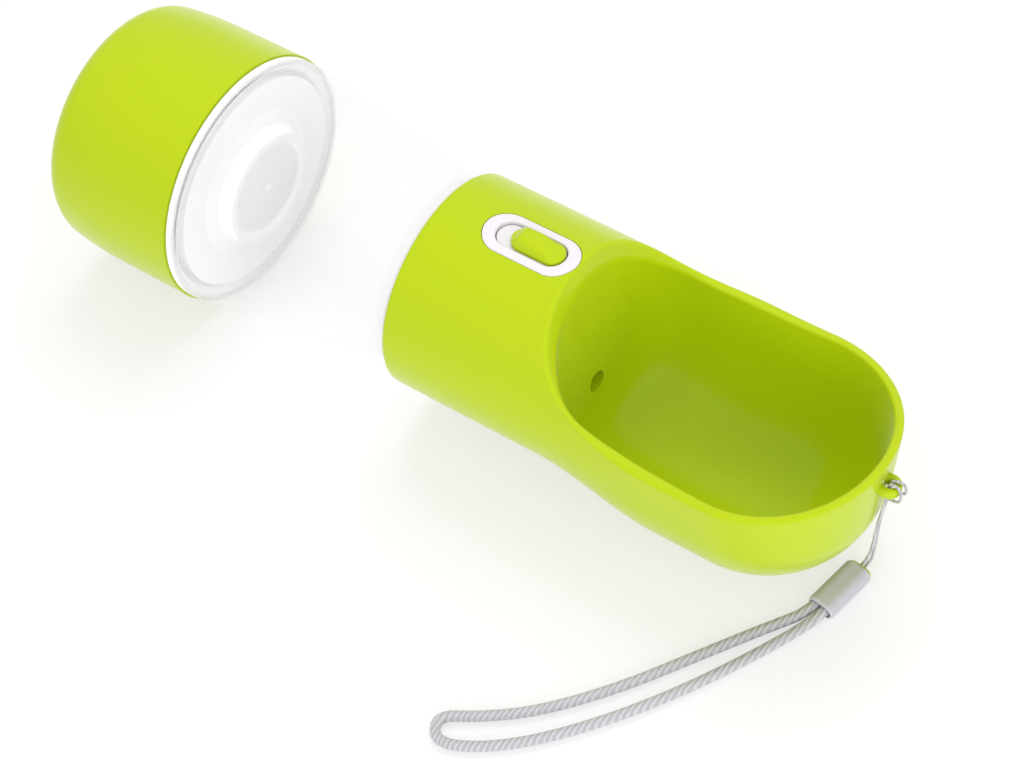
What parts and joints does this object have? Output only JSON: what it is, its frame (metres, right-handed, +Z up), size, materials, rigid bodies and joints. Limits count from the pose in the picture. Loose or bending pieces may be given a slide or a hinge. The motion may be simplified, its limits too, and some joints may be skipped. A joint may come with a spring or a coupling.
{
  "type": "portable pet water bottle",
  "caption": "Pet travel bottle: clear body, scoop bowl head with thumb valve, screw-off food cup, wrist strap.",
  "frame": {"origin": "centre of the bounding box without the strap, at the surface that the bottle lies on", "axes": "+X along the bottle towards the bowl's tip, +Z up out of the open bowl"},
  "size_m": [0.247, 0.1378, 0.0726],
  "materials": {
    "green_plastic": "gloss",
    "clear_plastic": "gloss",
    "white_plastic": "satin",
    "silicone": "matte",
    "spring_steel": "bright",
    "strap_cord": "matte",
    "clamp_plastic": "matte"
  },
  "bodies": {
    "head": {"head_shell": "green_plastic", "neck_collar": "white_plastic", "deck_seal": "silicone", "valve_body": "white_plastic", "spring_cap": "white_plastic", "return_spring": "spring_steel", "inlet_seal": "silicone", "outlet_nozzle": "green_plastic", "outlet_seal": "silicone", "valve_screws": "spring_steel", "button_bezel": "white_plastic", "string_loop": "strap_cord", "strap_clamp": "clamp_plastic", "clamp_insert": "green_plastic", "wrist_loop": "strap_cord"},
    "press": {"button_carrier": "white_plastic", "valve_stem": "white_plastic", "stem_sleeve": "silicone", "stem_seal": "silicone"},
    "thumb": {"thumb_button": "green_plastic"},
    "neck_lift": {"neck_gasket": "silicone"},
    "bottle_turn": {"bottle": "clear_plastic"},
    "base_lift": {"cup_seal": "silicone"},
    "cup_turn": {"food_cup": "green_plastic"}
  },
  "joints": [
    {"name": "neck_lift", "type": "slide", "parent": "head", "child": "neck_lift", "axis": [-1, 0, 0], "range_m": [0, 0.012]},
    {"name": "bottle_unscrew", "type": "hinge", "parent": "neck_lift", "child": "bottle_turn", "pos_m": [0, 0, 0.0363], "axis": [-1, 0, 0], "range_deg": [0, 1080]},
    {"name": "base_lift", "type": "slide", "parent": "bottle_turn", "child": "base_lift", "axis": [-1, 0, 0], "range_m": [0, 0.012]},
    {"name": "cup_unscrew", "type": "hinge", "parent": "base_lift", "child": "cup_turn", "pos_m": [0, 0, 0.0363], "axis": [-1, 0, 0], "range_deg": [0, 1080]},
    {"name": "button_press", "type": "slide", "parent": "head", "child": "press", "axis": [0, 0, -1], "range_m": [0, 0.003], "stiffness_N_per_m": 400, "springref_m": -0.002, "deforming": ["return_spring"]},
    {"name": "button_lock", "type": "slide", "parent": "press", "child": "thumb", "axis": [-1, 0, 0], "range_m": [0, 0.0032]}
  ],
  "couplings": [
    {"joint": "neck_lift", "follows": "bottle_unscrew", "m_per_rad": 0.00063661},
    {"joint": "base_lift", "follows": "cup_unscrew", "m_per_rad": 0.00063661}
  ]
}
